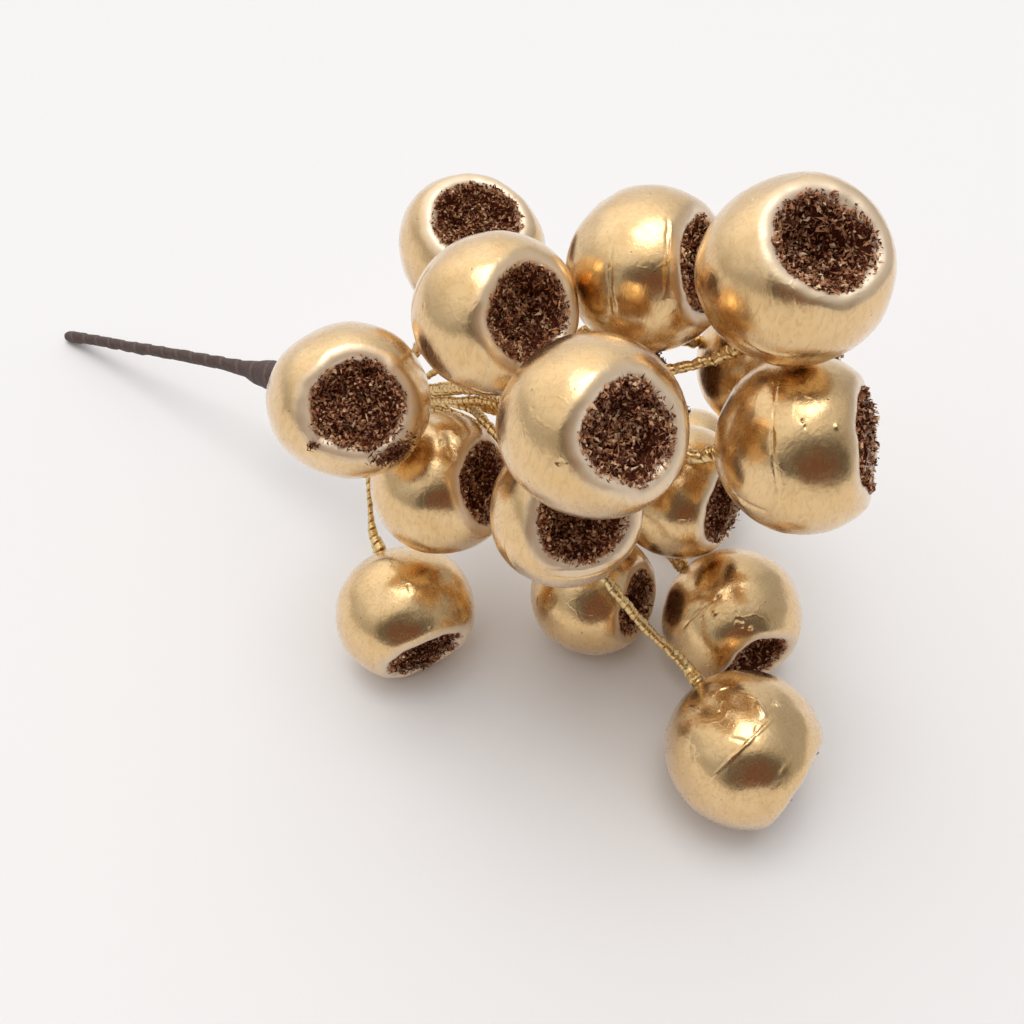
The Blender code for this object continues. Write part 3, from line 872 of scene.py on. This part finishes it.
def wire_radius(nut, point, leaves, collar):
    """The wire's radius: thin in the bundle, thicker once it leaves that, and flared at its collar."""
    out = point - leaves
    grown = min(1, out.length / THICKENS_OVER) if out.dot(BUNDLE_WAY) > 0 else 0
    flare = max(0, 1 - (point - collar).length / FLARE_LENGTH)
    thickness = BUNDLED_RADIUS + (nut.wire - BUNDLED_RADIUS) * grown
    return thickness + (FLARE_RADIUS - thickness) * flare


def wire_route(nut):
    """The points of the wire's axis, from inside the stem to the nut's socket, and its radius at each."""
    offset = bundle_offset(nut)
    way = direction(*nut.stalk)
    back = Vector(nut.centre) - way * BACK_HEIGHT * nut.radius
    leaves = MOUTH + offset + BUNDLE_WAY * nut.keeps
    collar = back - way * COLLAR_GAP
    free = [leaves, *(Vector(bend) for bend in nut.bends), collar - way * LEAD_LENGTH, collar]
    inner_end = MOUTH + offset - BUNDLE_WAY * GRIP_DEPTH
    mouth_point = MOUTH + offset - BUNDLE_WAY
    route = [inner_end.lerp(mouth_point, piece / GRIP_STEPS) for piece in range(GRIP_STEPS)]
    pieces = max(1, round((leaves - mouth_point).length / THREAD_STEP))
    route += [mouth_point.lerp(leaves, piece / pieces) for piece in range(pieces)]
    route += smooth_route(free, BUNDLE_WAY, way, THREAD_STEP)
    radii = [wire_radius(nut, point, leaves, collar) for point in route]
    neck = SOCKET_WIRE_RADIUS + GAP / 2
    foot = back + way * (SOCKET_DEPTH * nut.radius - GAP)
    route += [collar + way * COLLAR_STEP, back, back + way * GAP, foot]
    radii += [FLARE_RADIUS, neck, neck, SOCKET_WIRE_RADIUS]
    return route, np.array(radii)


def make_wire(key, nut, material):
    """The wire wound with a flat thread: lapped, crumpled turns, with a flared collar at the nut."""
    route, radii = wire_route(nut)
    points, one, other = swept(route)
    run = np.concatenate([[0], np.cumsum(np.linalg.norm(np.diff(points, axis=0), axis=1))])
    draw = np.random.default_rng(300 + int(key))
    knots = np.arange(0, run[-1] + DRIFT_PAST_END, DRIFT_EVERY)
    drift = DRIFT * np.interp(run, knots, draw.normal(0, DRIFT_SPREAD, len(knots)))
    around = np.arange(THREAD_SIDES) * math.tau / THREAD_SIDES
    phase = (run / THREAD_PITCH + drift)[:, None] - around[None, :] / math.tau
    turn = phase - np.floor(phase)
    ways = ways_out(one, other, around)
    surface = points[:, None, :] + ways * radii[:, None, None]
    crumple = layered_noise(surface.reshape(-1, 3), THREAD_CRUMPLE, 5).reshape(phase.shape)
    lap = THREAD_LAP * (turn - 0.5) * smooth_step((1 - turn) / THREAD_LAP_FADE)
    swell = radii[:, None] / USUAL_RADIUS * (lap + crumple)
    rings = surface + ways * swell[..., None]
    tone = smooth_step(turn / THREAD_SHADOW)
    add_piece("wound_wire_" + key, rings.reshape(-1, 3), tube_faces(len(points), THREAD_SIDES), tone.ravel(),
              material, "wire_" + key)


def make_tape(material):
    """Crepe tape wound up the stem: each turn laps the last with a small step, with fine creases along it."""
    rows = np.array(STEM)
    spans = np.hypot(np.diff(rows[:, 0]), np.diff(rows[:, 1]))
    length = np.concatenate([[0], np.cumsum(spans)])
    run = np.arange(0, length[-1], TAPE_SPACING)
    x, z, radius = (np.interp(run, length, rows[:, column]) for column in range(3))
    route = [Vector(point) for point in zip(x, np.full(len(x), STEM_Y), z)]
    points, one, other = swept(route)
    around = np.arange(TAPE_SIDES) * math.tau / TAPE_SIDES
    phase = run[:, None] / TAPE_PITCH - around[None, :] / math.tau
    turn = phase - np.floor(phase)
    lap = TAPE_STEP * (turn - 0.5)
    ways = ways_out(one, other, around)
    surface = points[:, None, :] + ways * radius[:, None, None]
    flat = surface.reshape(-1, 3)
    stretched = flat * np.array([TAPE_STRETCH, 1, 1])
    rough = layered_noise(stretched, TAPE_CREASES, 7) + layered_noise(flat, TAPE_LUMPS, 8)
    flat = flat + ways.reshape(-1, 3) * (lap.ravel() + rough)[:, None]
    flat[:, 2] = np.maximum(flat[:, 2], FLOOR_LIFT)
    edge = np.clip((turn - TAPE_EDGE_START) / TAPE_EDGE_WIDTH, 0, 1)
    add_piece("tape_wrap", flat, tube_faces(len(points), TAPE_SIDES), edge.ravel(), material, "taped_stem")


def make_floor():
    """A plain pale board that the sprig lies on."""
    material, _, _ = new_material("matte_white_board", Roughness=0.9, Base_Color=linear("#f2f1f1"))
    mesh = bpy.data.meshes.new("floor")
    corners = [(x * FLOOR_HALF, y * FLOOR_HALF, 0) for x, y in ((-1, -1), (1, -1), (1, 1), (-1, 1))]
    mesh.from_pydata(corners, [], [(0, 1, 2, 3)])
    mesh.materials.append(material)
    floor = bpy.data.objects.new("floor", mesh)
    bpy.context.scene.collection.objects.link(floor)


def make_lamp():
    """A broad soft lamp nearly straight above."""
    lamp = bpy.data.lights.new("overhead", "AREA")
    lamp.shape = "DISK"
    lamp.size = LAMP_WIDTH
    lamp.energy = LAMP_POWER
    lamp.color = LAMP_COLOUR
    light = bpy.data.objects.new("overhead", lamp)
    light.location = LAMP_PLACE
    aim = Vector(LAMP_AIM) - Vector(LAMP_PLACE)
    light.rotation_euler = aim.to_track_quat("-Z", "Y").to_euler()
    bpy.context.scene.collection.objects.link(light)


def glowing(tree, place):
    """The room's brightness each way, with what its glows add."""
    room = ROOM_DIM
    for glow in ROOM_GLOWS:
        toward = add_node(tree, "ShaderNodeVectorMath", {0: place, 1: direction(glow.azimuth, glow.elevation)},
                          operation="DOT_PRODUCT").outputs["Value"]
        more = remapped(tree, toward, glow.start, glow.full, 0, glow.adds, interpolation_type="SMOOTHSTEP")
        room = add_node(tree, "ShaderNodeMath", {0: room, 1: more}, operation="ADD").outputs[0]
    return room


def make_room():
    """A pale room with a window and a ceiling that glow, and a dark screen behind the camera."""
    world = bpy.data.worlds.new("pale_room")
    bpy.context.scene.world = world
    world.use_nodes = True
    tree = world.node_tree
    place = add_node(tree, "ShaderNodeTexCoord").outputs["Generated"]
    screen = add_node(
        tree, "ShaderNodeMapping",
        {"Vector": place, "Location": direction(SCREEN_AZIMUTH, SCREEN_ELEVATION),
         "Rotation": (0, -math.radians(SCREEN_ELEVATION), math.radians(SCREEN_AZIMUTH)),
         "Scale": (1, *SCREEN_HALF)},
        vector_type="TEXTURE",
    )
    inside = add_node(tree, "ShaderNodeTexGradient", {"Vector": screen.outputs[0]}, gradient_type="SPHERICAL")
    edge, middle = (
        remapped(tree, inside.outputs["Fac"], *fade, interpolation_type="SMOOTHSTEP")
        for fade in (SCREEN_EDGE_FADE, SCREEN_MIDDLE_FADE)
    )
    dark = remapped(tree, middle, 0, 1, SCREEN_DIM, SCREEN_MIDDLE)
    strength = add_node(tree, "ShaderNodeMix", {0: edge, 2: glowing(tree, place), 3: dark}).outputs[0]
    tint = blended(tree, edge, "#faf9f9", blended(tree, middle, "#e6e0d8", "#e8a48c"))
    feed(tree, tree.nodes["Background"], Strength=strength, Color=tint)


def make_camera():
    """The photograph's viewpoint."""
    lens = bpy.data.cameras.new("camera")
    lens.lens = CAMERA_LENS
    lens.sensor_width = 36
    lens.clip_start = 0.01
    camera = bpy.data.objects.new("camera", lens)
    camera.location = Vector(CAMERA_PLACE) * MM
    turn, down = math.radians(CAMERA_AZIMUTH), math.radians(CAMERA_DOWN)
    look = Vector((-math.sin(turn) * math.cos(down), math.cos(turn) * math.cos(down), -math.sin(down)))
    camera.rotation_euler = look.to_track_quat("-Z", "Y").to_euler()
    bpy.context.scene.collection.objects.link(camera)
    bpy.context.scene.camera = camera


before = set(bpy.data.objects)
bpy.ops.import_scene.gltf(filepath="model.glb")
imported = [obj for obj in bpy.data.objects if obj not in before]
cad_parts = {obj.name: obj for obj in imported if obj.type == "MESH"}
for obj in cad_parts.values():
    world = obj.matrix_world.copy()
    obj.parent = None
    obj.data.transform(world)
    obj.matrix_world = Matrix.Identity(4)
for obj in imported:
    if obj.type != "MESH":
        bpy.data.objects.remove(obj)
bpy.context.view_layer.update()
make_camera()
gold = champagne_gold_lacquer()
husk = shredded_husk()
thread = gold_thread()
for key, nut in NUTS.items():
    make_skin(key, nut, gold)
    make_bed(key, nut, husk)
    make_wire(key, nut, thread)
make_tape(crepe_tape())
steel = annealed_steel()
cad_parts["stem_wire"].data.materials.clear()
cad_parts["stem_wire"].data.materials.append(steel)
make_floor()
make_lamp()
make_room()
bpy.context.scene.view_settings.view_transform = "Standard"
